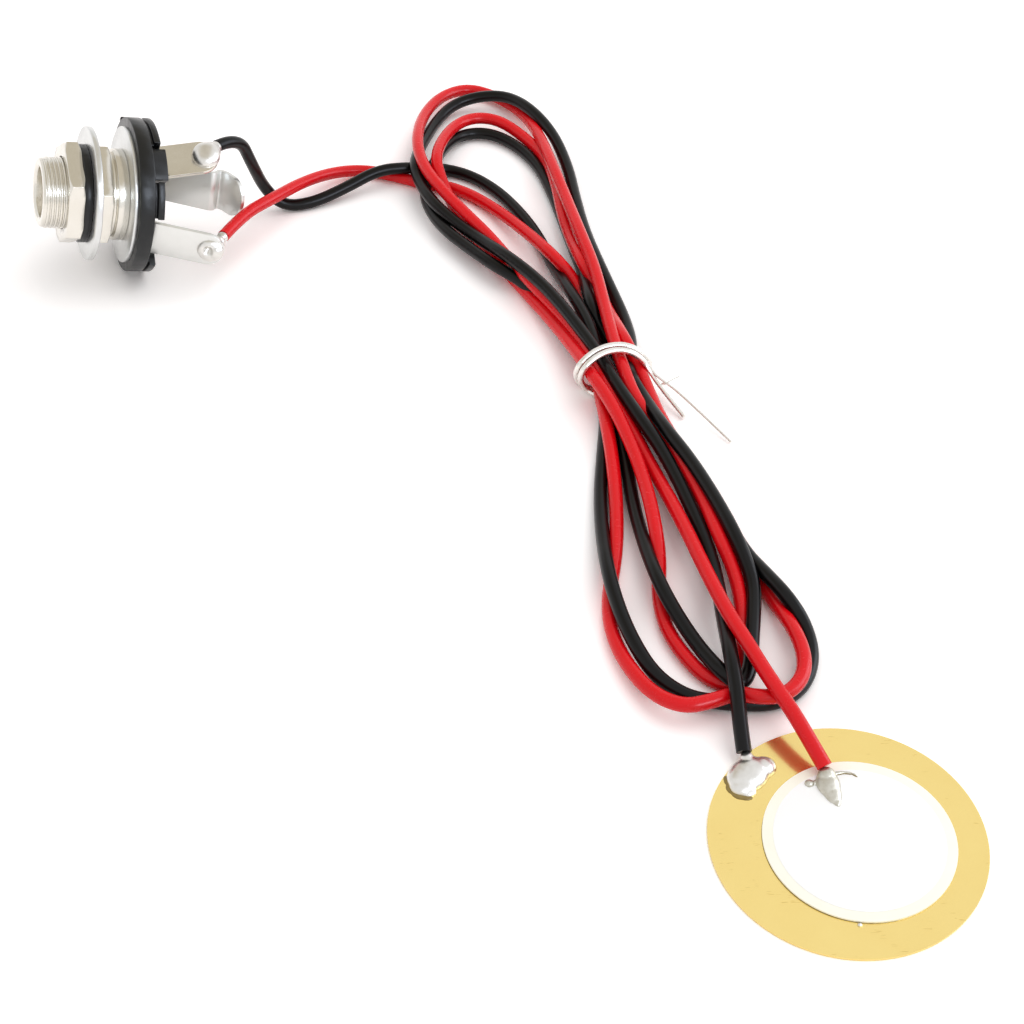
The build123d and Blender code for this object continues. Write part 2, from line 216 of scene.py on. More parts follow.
@dataclass(frozen=True)
class RolledBrass(Finish):
    """Brass sheet, whose grain is fine rolling lines, with short hairline scratches from handling."""

    line_stretch: float = 25.0
    line_turn_deg: float = 24.0
    scratch: str = "#DCBC6C"
    scratch_mm: float = 0.10
    scratch_stretch: float = 12.0
    scratch_turn_deg: float = -28.0
    scratch_detail: float = 1.0
    scratch_rarity: float = 0.69
    gather_mm: float = 2.5
    gather_detail: float = 1.0
    gather_rarity: float = 0.58

    def stretched(
        self,
        tree: bpy.types.NodeTree,
        place: bpy.types.NodeSocket,
        turn_deg: float,
        size_mm: float,
        stretch: float,
        detail: float,
    ) -> bpy.types.NodeSocket:
        """Noise drawn out along one direction of the sheet.

        Args:
            tree: Node tree of the material.
            place: Output socket with the surface's coordinates.
            turn_deg: Direction of the streaks.
            size_mm: Width of a streak.
            stretch: Length of a streak over its width.
            detail: Detail of the noise.

        Returns:
            The noise's output socket.
        """
        turned = add_node(
            tree,
            "ShaderNodeMapping",
            {"Rotation": (0.0, 0.0, math.radians(turn_deg)), "Scale": (1 / stretch, 1.0, 1.0)},
            {"Vector": place},
        )
        noise = add_node(
            tree,
            "ShaderNodeTexNoise",
            {"Scale": per_size(size_mm), "Detail": detail},
            {"Vector": turned.outputs["Vector"]},
        )
        return noise.outputs["Fac"]

    def colour_output(self, tree: bpy.types.NodeTree, place: bpy.types.NodeSocket) -> bpy.types.NodeSocket:
        """Patches of tint, with hairline scratches gathered in a few places.

        Args:
            tree: Node tree of the material.
            place: Output socket with the surface's coordinates.

        Returns:
            The colour's output socket.
        """
        base = super().colour_output(tree, place)
        streaks = self.stretched(
            tree, place, self.scratch_turn_deg, self.scratch_mm, self.scratch_stretch, self.scratch_detail
        )
        places = add_node(
            tree,
            "ShaderNodeTexNoise",
            {"Scale": per_size(self.gather_mm), "Detail": self.gather_detail},
            {"Vector": place},
        )
        thin = add_node(
            tree, "ShaderNodeMath", {1: self.scratch_rarity}, {0: streaks}, operation="GREATER_THAN"
        )
        few = add_node(
            tree,
            "ShaderNodeMath",
            {1: self.gather_rarity},
            {0: places.outputs["Fac"]},
            operation="GREATER_THAN",
        )
        marks = add_node(
            tree,
            "ShaderNodeMath",
            links={0: thin.outputs["Value"], 1: few.outputs["Value"]},
            operation="MULTIPLY",
        )
        mixed = add_node(
            tree,
            "ShaderNodeMixRGB",
            {"Color2": linear(self.scratch)},
            {"Fac": marks.outputs["Value"], "Color1": base},
        )
        return mixed.outputs["Color"]

    def height_output(self, tree: bpy.types.NodeTree, place: bpy.types.NodeSocket) -> bpy.types.NodeSocket:
        """Height of the rolling lines, which run across the sheet."""
        turn, size, stretch = self.line_turn_deg, self.grain_mm, self.line_stretch
        return self.stretched(tree, place, turn, size, stretch, self.grain_detail)


# Finishes, each named for the real material and how its surface was made. A pixel is about 0.1 mm wide, so
# a grain or line that is finer on the real part is drawn at 0.1 mm or a little more, where it shows.

# Rolled brass: pale warm yellow, with clear reflections that the rolling lines streak a little
BRASS = RolledBrass("rolled_brass", "#F6DD8F", "#F0D484", 0.15, 0.03, 5.0, 0.12, 0.0004, metallic=0.85)
# Fired piezo ceramic: matt cream
CERAMIC = Finish("fired_ceramic", "#FFFDF2", "#FCF9E6", 0.55, 0.08, 3.0, 0.12, 0.002)
# Fired silver paint: chalky white
SILVER = Finish("fired_silver_paint", "#FFFFFF", "#FBFAF8", 0.55, 0.08, 4.0, 0.15, 0.002)
# Tin solder: bright and lumpy, frosted where it froze
SOLDER = Finish("frozen_solder", "#ECEAE6", "#CFCCC6", 0.32, 0.08, 0.9, 0.35, 0.02, metallic=1.0)
# Solder that froze slowly on the silver: grey, grainy and dull
DULL_SOLDER = Finish("dull_solder", "#DAD7CE", "#AFA998", 0.42, 0.08, 0.45, 0.16, 0.02, metallic=1.0)
# Burnt rosin: glassy olive brown; it also colours the painted shade line at the ceramic's edge
FLUX = Finish("burnt_rosin_and_painted_shade", "#9A8342", "#6A5526", 0.30, 0.10, 0.7, 0.3, 0.02)
# Extruded red PVC: a full even red, satin, with a slight orange peel
RED_PVC = Finish("red_pvc", "#E20815", "#D40712", 0.26, 0.05, 5.0, 0.5, 0.006, ior=1.36)
# Extruded black PVC: deep black, with a thin satin sheen
BLACK_PVC = Finish("black_pvc", "#080607", "#050404", 0.30, 0.05, 5.0, 0.5, 0.006, ior=1.31)
# Galvanised tie wire: bright, a little dull
TIE_METAL = Finish("galvanised_wire", "#F4F2EE", "#DEDAD2", 0.28, 0.08, 1.2, 0.2, 0.006, metallic=0.9)
# Nickel plate on turned brass: warm grey mirror with soft clouds
NICKEL = Finish("nickel_plate", "#E6E3DC", "#D8D3C8", 0.20, 0.06, 2.5, 0.25, 0.002, metallic=1.0)
# Tinned bronze strip: pale neutral grey, softer than the nickel
STRIP = Finish("tinned_strip", "#E6E6E3", "#D9D9D5", 0.34, 0.07, 2.5, 0.25, 0.003, metallic=0.9)
# Zinc plate on steel: pale, satin
ZINC = Finish("zinc_plate", "#E1E2E1", "#D3D4D2", 0.30, 0.07, 2.0, 0.2, 0.003, metallic=0.9)
# Moulded phenolic: near black, with a soft cool sheen and a fine mould grain
MOULDING = Finish("black_moulding", "#090C0F", "#06080A", 0.32, 0.07, 3.0, 0.25, 0.006, ior=1.45)


class Palette:
    """Materials of the finishes, each made once."""

    made: dict[str, bpy.types.Material] = {}

    @classmethod
    def of(cls, finish: Finish) -> bpy.types.Material:
        """Find the material of a finish, which is made when it is first asked for.

        Args:
            finish: The finish.

        Returns:
            Its material.
        """
        if finish.name not in cls.made:
            cls.made[finish.name] = finish.build()
        return cls.made[finish.name]


def dress_node(name: str, finish: Finish, bevel_mm: float = 0.0) -> bpy.types.Object:
    """Give a CAD node its finish, and soften its edges where it has any to show.

    Args:
        name: The node's name.
        finish: Its finish.
        bevel_mm: Width of the softened edges, or zero to leave them sharp.

    Returns:
        The node's object.
    """
    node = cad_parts[name]
    node.data.materials.clear()
    node.data.materials.append(Palette.of(finish))
    if bevel_mm:
        node.data.polygons.foreach_set("use_smooth", [True] * len(node.data.polygons))
        weld = node.modifiers.new("Weld", "WELD")
        weld.merge_threshold = WELD_MM * MM
        bevel = node.modifiers.new("Bevel", "BEVEL")
        bevel.width = bevel_mm * MM
        bevel.segments = BEVEL_SEGMENTS
        bevel.limit_method = "ANGLE"
        bevel.angle_limit = math.radians(BEVEL_FROM_DEG)
        bevel.harden_normals = True
    return node


def place_mesh(name: str, shape: bmesh.types.BMesh) -> bpy.types.Object:
    """Put a shape into the scene.

    Args:
        name: Name of the object and of its mesh.
        shape: The shape's bmesh, which is freed.

    Returns:
        The object.
    """
    mesh = bpy.data.meshes.new(name)
    shape.to_mesh(mesh)
    shape.free()
    item = bpy.data.objects.new(name, mesh)
    bpy.context.scene.collection.objects.link(item)
    return item


def settle_piece(
    piece: bpy.types.Object,
    finish: Finish,
    stands_for: tuple[str, ...] = (),
) -> bpy.types.Object:
    """Give a piece its finish and body, and hide the nodes that it stands for.

    Args:
        piece: The piece's object.
        finish: Its finish.
        stands_for: CAD nodes that it takes the place of.

    Returns:
        The same object.
    """
    piece.data.materials.append(Palette.of(finish))
    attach(piece, BODY)
    if stands_for:
        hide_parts(*stands_for)
    return piece


def add_piece(
    name: str,
    shape: bmesh.types.BMesh,
    finish: Finish,
    stands_for: tuple[str, ...] = (),
) -> bpy.types.Object:
    """Turn a shape in millimetres into a smooth piece that rides on the part.

    Args:
        name: The piece's name.
        shape: Its bmesh, which is freed.
        finish: Its finish.
        stands_for: CAD nodes that it takes the place of.

    Returns:
        The piece's object.
    """
    bmesh.ops.scale(shape, vec=(MM, MM, MM), verts=shape.verts)
    for face in shape.faces:
        face.smooth = True
    return settle_piece(place_mesh(name, shape), finish, stands_for)


def lay_wire(
    name: str,
    runs: Sequence[np.ndarray],
    diameter: float,
    curve_steps: int,
    round_steps: int,
    closed: bool = False,
) -> bpy.types.Object:
    """Make round wire along smooth curves.

    Args:
        name: The piece's name.
        runs: Rows of control points of each run, in millimetres.
        diameter: Thickness of the wire in millimetres.
        curve_steps: Steps along the curve for each control point.
        round_steps: Fineness of the round section.
        closed: Whether the runs close on themselves.

    Returns:
        The wire's object, without a finish.
    """
    curve = bpy.data.curves.new(name, "CURVE")
    curve.dimensions = "3D"
    curve.resolution_u = curve_steps
    curve.bevel_depth = diameter / 2 * MM
    curve.bevel_resolution = round_steps
    curve.use_fill_caps = True
    for run in runs:
        spline = curve.splines.new("NURBS")
        spline.points.add(len(run) - 1)
        for spot, point in zip(spline.points, run):
            spot.co = (*(Vector(point) * MM), 1.0)
        spline.order_u = SPLINE_ORDER
        spline.use_cyclic_u = closed
        spline.use_endpoint_u = not closed
    piece = bpy.data.objects.new(name, curve)
    bpy.context.scene.collection.objects.link(piece)
    return piece


@dataclass(frozen=True)
class PhotoCamera:
    """The photograph's camera, and the points that its pixels show at a height above the floor."""

    frame_px: float = 1024.0
    focal_px: float = 1860.0
    sensor_mm: float = 36.0
    pitch_deg: float = 44.214
    place: Point = (-32.32, -106.54, 147.67)
    nearest_m: float = 0.01
    farthest_m: float = 20.0

    def build(self) -> bpy.types.Object:
        """Place the camera in the scene.

        Returns:
            The camera's object.
        """
        data = bpy.data.cameras.new("photo_camera")
        data.sensor_width = self.sensor_mm
        data.lens = self.focal_px * self.sensor_mm / self.frame_px
        data.clip_start = self.nearest_m
        data.clip_end = self.farthest_m
        camera = bpy.data.objects.new("photo_camera", data)
        camera.location = Vector(self.place) * MM
        camera.rotation_euler = (math.radians(90 - self.pitch_deg), 0.0, 0.0)
        bpy.context.scene.collection.objects.link(camera)
        bpy.context.scene.camera = camera
        return camera

    def rays(self, pixels: np.ndarray) -> np.ndarray:
        """Direction of each pixel's ray, per millimetre that it falls.

        Args:
            pixels: Rows of pixel coordinates, across and down.

        Returns:
            Rows of directions whose height falls by one.
        """
        pitch = math.radians(self.pitch_deg)
        ahead = np.array([0.0, math.cos(pitch), -math.sin(pitch)])
        up = np.array([0.0, math.sin(pitch), math.cos(pitch)])
        right = np.array([1.0, 0.0, 0.0])
        offset = (pixels - self.frame_px / 2) / self.focal_px
        rays = ahead + offset[:, :1] * right - offset[:, 1:] * up
        return rays / -rays[:, 2:]

    def at_height(self, rays: np.ndarray, heights: np.ndarray) -> np.ndarray:
        """Points of the rays at heights above the floor, in millimetres."""
        place = np.array(self.place)
        return place + rays * (place[2] - heights)[:, None]


CAMERA = PhotoCamera()


@dataclass
class Wire:
    """One insulated wire from the jack to the disc.

    The free ends are in millimetres. The turns of the hank are where the photograph shows
    them: pixels across and down, and the height of the wire's middle in millimetres.
    """

    name: str
    finish: Finish
    slot: Slot
    nodes: tuple[str, ...]
    jack_end: list[Point]
    turns: list[Point]
    disc_end: list[Point]
    length_mm: float
    diameter: float = 1.6
    curve_steps: int = 8
    round_steps: int = 6
    points: np.ndarray = field(default_factory=lambda: np.zeros((0, 3)))

    def start(self) -> tuple[np.ndarray, np.ndarray]:
        """Find the route before its turns are settled.

        Returns:
            The route's points, and each point's ray, which is zero on the free ends.
        """
        turns = np.array(self.turns)
        rays = CAMERA.rays(turns[:, :2])
        laid = CAMERA.at_height(rays, turns[:, 2])
        still = [np.zeros((len(end), 3)) for end in (self.jack_end, self.disc_end)]
        points = np.vstack([self.jack_end, laid, self.disc_end])
        return points, np.vstack([still[0], rays, still[1]])

    def build(self) -> bpy.types.Object:
        """Make the wire as one smooth curve with its settled points as control points."""
        piece = lay_wire(self.name, [self.points], self.diameter, self.curve_steps, self.round_steps)
        return settle_piece(piece, self.finish, self.nodes)


RED_WIRE = Wire(
    name="red_wire",
    finish=RED_PVC,
    slot=Slot.RED,
    nodes=("red_wire_jack_end", "red_wire_disc_end", "wire_hank"),
    jack_end=[
        (-69.7, 91.2, 5.2), (-67.6, 96.1, 5.2), (-64.4, 100.2, 4.7), (-60.8, 106.3, 3.3),
        (-57.0, 111.2, 1.6), (-52.7, 112.9, 0.8), (-48.3, 111.3, 0.8), (-44.5, 109.5, 0.8),
    ],
    turns=[
        # In under the hank and through the tie
        (446, 186, 0.8), (472, 195, 0.8), (500, 212, 1.2), (530, 235, 2.2), (556, 258, 2.2), (577, 283, 0.9),
        (589, 318, 0.8), (595, 352, 0.8), (598, 385, 0.8), (606, 420, 1.0),
        # Outer loop below the tie
        (612, 455, 1.3), (616, 495, 1.6), (617, 530, 1.6), (615, 562, 1.2), (608, 598, 0.9), (611, 632, 0.9),
        (626, 664, 1.2), (652, 694, 1.8), (684, 707, 2.4), (712, 701, 2.6), (736, 693, 2.0), (760, 697, 1.6),
        (784, 696, 2.2), (803, 679, 2.4), (805, 655, 2.4), (794, 628, 2.0), (774, 602, 1.2), (760, 580, 1.0),
        (739, 550, 0.8), (714, 508, 0.8), (688, 462, 0.8), (661, 420, 1.0), (648, 390, 0.9), (636, 362, 1.6),
        # Inner loop above the tie
        (623, 336, 3.0), (607, 310, 1.8), (596, 285, 1.4), (582, 262, 2.0), (571, 240, 2.4), (562, 213, 2.4),
        (557, 186, 2.0), (547, 158, 1.6), (524, 137, 1.8), (501, 121, 2.2), (478, 117, 2.4), (458, 123, 2.6),
        (443, 138, 2.8), (435, 158, 2.8), (441, 179, 2.4), (452, 204, 1.0), (470, 231, 0.8), (494, 257, 0.8),
        (520, 286, 0.9), (549, 317, 1.2), (574, 348, 1.8), (590, 372, 2.8),
        # Inner loop below the tie
        (610, 400, 3.2), (627, 434, 3.2), (643, 475, 3.0), (654, 517, 2.8), (660, 560, 2.0), (658, 594, 1.0),
        (665, 627, 0.9), (684, 656, 0.9), (706, 678, 0.9), (732, 688, 1.0), (743, 682, 1.2), (743, 660, 1.4),
        (743, 632, 1.6), (741, 600, 1.8), (734, 570, 2.2), (719, 535, 2.4), (702, 497, 2.2), (680, 459, 1.4),
        (655, 424, 1.2), (634, 397, 2.9), (621, 362, 3.6),
        # Outer loop above the tie
        (611, 332, 3.4), (603, 300, 3.2), (594, 266, 3.0), (580, 232, 2.8), (565, 196, 2.6), (551, 162, 2.4),
        (539, 134, 2.0), (523, 113, 1.4), (498, 97, 1.0), (468, 88, 1.2), (441, 96, 1.8), (423, 115, 2.6),
        (416, 139, 3.4), (422, 164, 4.2), (440, 188, 4.2), (465, 213, 3.6), (488, 235, 2.6), (506, 256, 1.0),
        (527, 278, 1.8), (550, 302, 2.0), (573, 329, 2.0), (592, 357, 2.0), (609, 390, 1.8),
        # Out over the hank to the disc
        (631, 428, 1.4), (650, 464, 1.8), (670, 499, 2.6), (688, 533, 3.2), (705, 569, 3.8), (725, 608, 4.2),
        (747, 642, 4.4),
    ],
    disc_end=[(-6.3, 16.9, 4.2), (-4.3, 13.1, 3.6), (-2.7, 9.9, 2.6), (-1.4, 7.7, 1.4)],
    length_mm=654.0,
)

BLACK_WIRE = Wire(
    name="black_wire",
    finish=BLACK_PVC,
    slot=Slot.BLACK,
    nodes=("black_wire_jack_end", "black_wire_disc_end", "wire_hank"),
    jack_end=[
        (-70.3, 97.7, 14.6), (-67.8, 100.6, 14.2), (-66.8, 102.2, 9.0), (-65.9, 104.7, 3.4),
        (-63.5, 104.2, 0.8), (-59.6, 104.9, 0.8), (-55.2, 107.3, 1.6), (-50.8, 110.2, 2.6),
        (-46.7, 111.1, 2.4), (-43.5, 112.4, 1.4),
    ],
    turns=[
        # In under the hank and through the tie
        (450, 170, 0.8), (474, 177, 0.8), (500, 193, 0.8), (524, 217, 0.9), (541, 241, 0.8), (554, 268, 0.8),
        (570, 291, 2.2), (588, 320, 2.4), (598, 352, 1.6), (603, 386, 0.8),
        # Outer loop below the tie
        (606, 420, 0.8), (603, 455, 0.8), (600, 495, 0.8), (602, 535, 1.2), (608, 572, 2.4), (618, 607, 2.4),
        (633, 642, 2.0), (655, 676, 1.4), (686, 697, 0.9), (716, 702, 0.8), (743, 704, 0.8), (770, 704, 0.8),
        (791, 697, 0.8), (808, 679, 0.8), (813, 652, 1.0), (804, 622, 1.6), (787, 596, 2.0), (766, 574, 2.2),
        (745, 553, 1.4), (726, 520, 0.9), (698, 478, 0.8), (672, 440, 0.8), (646, 405, 0.8), (626, 372, 0.9),
        # Inner loop above the tie
        (604, 335, 1.6), (590, 304, 2.0), (583, 272, 1.2), (572, 245, 0.8), (562, 218, 0.8), (552, 192, 0.8),
        (538, 165, 0.8), (515, 144, 0.9), (487, 132, 1.0), (459, 135, 1.0), (441, 150, 1.4), (431, 170, 2.4),
        (424, 190, 2.4), (429, 210, 2.2), (445, 230, 2.2), (469, 248, 2.2), (495, 266, 2.2), (524, 282, 1.2),
        (546, 305, 0.8), (572, 330, 0.8), (594, 356, 1.4),
        # Inner loop below the tie
        (608, 392, 1.4), (619, 425, 1.2), (626, 462, 1.2), (633, 505, 1.4), (645, 547, 2.0), (658, 580, 2.6),
        (675, 612, 2.4), (697, 645, 1.8), (721, 672, 1.6), (742, 686, 1.4), (751, 668, 1.4), (752, 640, 1.6),
        (754, 612, 1.8), (754, 585, 2.2), (746, 560, 2.4), (734, 532, 2.6), (714, 496, 2.8), (690, 459, 2.8),
        (664, 427, 2.6), (645, 400, 2.3), (631, 378, 1.8), (628, 360, 1.2),
        # Outer loop above the tie
        (632, 344, 1.2), (624, 318, 1.0), (612, 292, 1.2), (597, 260, 1.6), (584, 230, 1.4), (575, 198, 1.4),
        (568, 167, 1.6), (553, 133, 2.2), (530, 108, 2.6), (507, 96, 2.6), (480, 96, 2.2), (454, 104, 1.6),
        (437, 120, 1.2), (423, 142, 1.6), (414, 161, 2.4), (418, 180, 2.6), (432, 202, 2.6), (455, 222, 2.6),
        (479, 239, 2.6), (506, 255, 2.8), (537, 279, 2.8), (559, 302, 3.2), (578, 326, 3.6), (599, 354, 4.0),
        # Out over the hank to the disc
        (617, 385, 4.0), (637, 414, 3.8), (660, 446, 3.6), (679, 481, 3.2), (696, 518, 2.8), (709, 550, 2.4),
        (718, 585, 2.2), (724, 622, 2.2), (731, 656, 2.8),
    ],
    disc_end=[(-9.5, 15.9, 3.4), (-9.5, 12.4, 2.6), (-9.2, 9.6, 1.3)],
    length_mm=649.0,
)


@dataclass
class Hank:
    """Both wires, with the heights of their turns settled so that crossing turns lie on one another.

    The hank's height is limited, so turns in its crowded parts still press into each other.
    """

    wires: tuple[Wire, ...]
    touch_share: float = 0.93
    steps: int = 160
    samples: int = 4
    gain: float = 0.35
    top_mm: float = 4.2
    apart_mm: float = 7.0
    level_mm: float = 1e-4
    least_weight: float = 1e-6

    def spread(self, count: int) -> np.ndarray:
        """Weights that turn a route's control points into points along its smooth curve.

        Args:
            count: Number of control points.

        Returns:
            One row of weights for each point of the curve.
        """
        rows = []
        for index in range(count - 2):
            for step in range(self.samples):
                t = step / self.samples
                row = np.zeros(count)
                row[index] = 0.5 * (1 - t) ** 2
                row[index + 1] = 0.5 + t * (1 - t)
                row[index + 2] = 0.5 * t**2
                rows.append(row)
        return np.array(rows)

    def spread_all(self, counts: list[int]) -> tuple[np.ndarray, np.ndarray]:
        """Weights of all the wires' curves in one table.

        Args:
            counts: Number of control points of each wire.

        Returns:
            Rows of weights over the control points of all the wires, and the wire of each row.
        """
        blocks = [self.spread(count) for count in counts]
        owner = np.concatenate([np.full(len(block), index) for index, block in enumerate(blocks)])
        weights = np.zeros((len(owner), sum(counts)))
        row = 0
        column = 0
        for block in blocks:
            weights[row : row + block.shape[0], column : column + block.shape[1]] = block
            row += block.shape[0]
            column += block.shape[1]
        return weights, owner

    def settle(self) -> None:
        """Lift and lower the turns along the camera's rays to part those that cut into each other."""
        starts = [wire.start() for wire in self.wires]
        points = np.vstack([start[0] for start in starts])
        rays = np.vstack([start[1] for start in starts])
        free = np.any(rays != 0, axis=1)
        counts = [len(start[0]) for start in starts]
        weights, owner = self.spread_all(counts)
        curve = weights @ points
        strides = np.linalg.norm(np.diff(curve, axis=0), axis=1)
        along = np.concatenate([[0.0], np.cumsum(strides)])
        # A stretch of wire never crosses its own neighbourhood
        same = (owner[:, None] == owner[None, :]) & (np.abs(along[:, None] - along[None, :]) < self.apart_mm)
        # What starts higher stays on top, and the later wire does where both start level
        rise = curve[:, None, 2] - curve[None, :, 2]
        order = np.sign(rise + self.level_mm * (owner[:, None] - owner[None, :]))
        touch = self.touch_share * self.wires[0].diameter
        floor = self.wires[0].diameter / 2
        for _ in range(self.steps):
            curve = weights @ points
            flat = np.sum((curve[:, None, :2] - curve[None, :, :2]) ** 2, axis=2)
            wanted = np.sqrt(np.clip(touch**2 - flat, 0.0, None))
            short = wanted - order * (curve[:, None, 2] - curve[None, :, 2])
            short[(flat > touch**2) | same | (short < 0)] = 0.0
            push = np.max(short * (order > 0), axis=1) - np.max(short * (order < 0), axis=1)
            share = weights.T @ push / np.maximum(weights.sum(axis=0), self.least_weight)
            heights = np.clip(points[:, 2] + self.gain * share, floor, self.top_mm)
            moved = CAMERA.at_height(rays, heights)
            points[free] = moved[free]
        for wire, part in zip(self.wires, np.split(points, np.cumsum(counts)[:-1])):
            wire.points = part
        LOG.info("hank settled, largest cut %.2f mm", float(short.max()))

    def build(self) -> list[bpy.types.Object]:
        """Settle the turns and make both wires."""
        self.settle()
        return [wire.build() for wire in self.wires]


@dataclass(frozen=True)
class Lobe:
    """One rounded lump of molten metal: its middle, its half sizes and its turn about the upright."""

    middle: Point
    radii: Point
    turn_deg: float = 0.0

    def matrix(self) -> Matrix:
        """Matrix that makes a unit ball into the lobe."""
        turn = Matrix.Rotation(math.radians(self.turn_deg), 4, "Z")
        return Matrix.Translation(self.middle) @ turn @ Matrix.Diagonal((*self.radii, 1.0))


def melt(lobes: Sequence[Lobe], base: Matrix, voxel_mm: float, smooth_steps: int) -> bmesh.types.BMesh:
    """Run lobes together into one smooth lump.

    Args:
        lobes: The lobes, in millimetres.
        base: Frame that the lobes are given in.
        voxel_mm: Fineness of the lump.
        smooth_steps: How far the joins between the lobes are smoothed.

    Returns:
        The lump's bmesh, in millimetres.
    """
    shape = bmesh.new()
    for lobe in lobes:
        bmesh.ops.create_icosphere(
            shape, subdivisions=BALL_SUBDIVISIONS, radius=1.0, matrix=base @ lobe.matrix()
        )
    carrier = place_mesh("melt", shape)
    balls = carrier.data
    remesh = carrier.modifiers.new("Remesh", "REMESH")
    remesh.mode = "VOXEL"
    remesh.voxel_size = voxel_mm
    soft = carrier.modifiers.new("Smooth", "SMOOTH")
    soft.iterations = smooth_steps
    bpy.context.view_layer.update()
    evaluated = carrier.evaluated_get(bpy.context.evaluated_depsgraph_get())
    baked = bpy.data.meshes.new_from_object(evaluated)
    lump = bmesh.new()
    lump.from_mesh(baked)
    bpy.data.objects.remove(carrier)
    bpy.data.meshes.remove(baked)
    bpy.data.meshes.remove(balls)
    return lump


def cut_flat(shape: bmesh.types.BMesh, level: float) -> None:
    """Cut away what lies below a level and close the cut.

    Args:
        shape: The shape to cut.
        level: Height of the cut.
    """
    geometry = [*shape.verts, *shape.edges, *shape.faces]
    cut = bmesh.ops.bisect_plane(
        shape, geom=geometry, plane_co=(0, 0, level), plane_no=(0, 0, 1), clear_inner=True
    )
    rim = [item for item in cut["geom_cut"] if isinstance(item, bmesh.types.BMEdge)]
    bmesh.ops.holes_fill(shape, edges=rim, sides=0)
    bmesh.ops.recalc_face_normals(shape, faces=shape.faces)


def dent(shape: bmesh.types.BMesh, place: Vector, inward: Vector, radius: float, depth: float) -> None:
    """Press a soft pit into a shape.

    Args:
        shape: The shape to press.
        place: Middle of the pit.
        inward: Direction of the press.
        radius: Reach of the pit.
        depth: Its depth.
    """
    for vert in shape.verts:
        share = max(0.0, 1 - (vert.co - place).length / radius)
        vert.co += inward * depth * share * share * (3 - 2 * share)


@dataclass(frozen=True)
class Lump:
    """What froze on a flat surface: its finish, and its lobes with heights above that surface."""

    name: str
    finish: Finish
    surface: float
    lobes: tuple[Lobe, ...]
    stands_for: tuple[str, ...] = ()
    voxel_mm: float = 0.07
    smooth_steps: int = 4

    def build(self) -> bpy.types.Object:
        """Run the lobes together and cut them flat on the surface.

        Returns:
            The piece's object.
        """
        base = Matrix.Translation((0.0, 0.0, self.surface))
        shape = melt(self.lobes, base, self.voxel_mm, self.smooth_steps)
        cut_flat(shape, self.surface)
        return add_piece(self.name, shape, self.finish, self.stands_for)


BRASS_TOP = top_of("brass_disc")
SILVER_TOP = top_of("silver_electrode")

# Solder of the black wire: a broad lump with a lower lobe at the edge
BRASS_JOINT = Lump(
    "brass_solder_lump",
    SOLDER,
    BRASS_TOP,
    (
        Lobe((-8.9, 7.5, 0.0), (2.1, 1.9, 1.2), 30),
        Lobe((-8.5, 7.9, 0.0), (2.0, 1.7, 1.25), 25),
        Lobe((-7.4, 8.4, 0.0), (1.45, 1.25, 1.05), 15),
        Lobe((-9.6, 7.1, 0.0), (1.5, 1.75, 1.1), -15),
        Lobe((-9.6, 6.1, 0.0), (1.35, 1.2, 0.85), 10),
        Lobe((-9.1, 5.5, 0.0), (0.9, 0.75, 0.5)),
        Lobe((-8.9, 9.2, 0.45), (0.7, 0.95, 0.8)),
    ),
    ("brass_solder",),
    smooth_steps=36,
)
# Burnt rosin that ran out along the lower edge of the brass joint
BRASS_FLUX = Lump(
    "brass_flux_stain",
    FLUX,
    BRASS_TOP,
    (
        Lobe((-10.95, 6.7, 0.0), (0.4, 0.8, 0.16), 20),
        Lobe((-10.75, 5.8, 0.0), (0.45, 0.7, 0.18), 30),
        Lobe((-10.15, 5.05, 0.0), (0.75, 0.42, 0.18), -35),
        Lobe((-9.3, 4.72, 0.0), (0.65, 0.3, 0.16)),
        Lobe((-7.6, 6.75, 0.0), (0.55, 0.22, 0.12), 20),
    ),
)
# Solder of the red wire: a cone that runs out to a tail, with a bead on one side and a thin arc on the other
CERAMIC_JOINT = Lump(
    "ceramic_solder_lump",
    DULL_SOLDER,
    SILVER_TOP,
    (
        Lobe((-1.25, 6.9, 0.3), (0.95, 1.0, 0.95)),
        Lobe((-1.15, 6.2, 0.0), (1.2, 1.7, 1.0), 8),
        Lobe((-0.95, 5.5, 0.0), (0.95, 1.8, 0.7), 12),
        Lobe((-0.75, 4.8, 0.0), (0.55, 1.4, 0.42), 14),
        Lobe((-3.0, 6.25, 0.0), (0.5, 0.45, 0.42)),
        Lobe((-2.2, 6.4, 0.0), (0.6, 0.35, 0.22), 10),
        Lobe((0.0, 7.55, 0.0), (0.8, 0.22, 0.20), 10),
        Lobe((0.9, 7.6, 0.0), (0.6, 0.16, 0.15), -6),
        Lobe((1.55, 7.4, 0.0), (0.35, 0.14, 0.12), -35),
    ),
    ("ceramic_solder",),
    voxel_mm=0.06,
    smooth_steps=22,
)
# Rosin along the thin arc of solder on the electrode
CERAMIC_FLUX = Lump(
    "ceramic_flux_stain",
    FLUX,
    SILVER_TOP,
    (
        Lobe((0.1, 7.42, 0.0), (0.8, 0.11, 0.09), 10),
        Lobe((0.95, 7.47, 0.0), (0.6, 0.10, 0.08), -6),
        Lobe((1.6, 7.25, 0.0), (0.35, 0.09, 0.08), -35),
    ),
    voxel_mm=0.04,
)
# A stray bead of solder at the lower edge of the ceramic
STRAY_BEAD = Lump(
    "stray_solder_bead", SOLDER, BRASS_TOP, (Lobe((-0.13, -9.85, 0.0), (0.26, 0.2, 0.24)),), voxel_mm=0.04
)


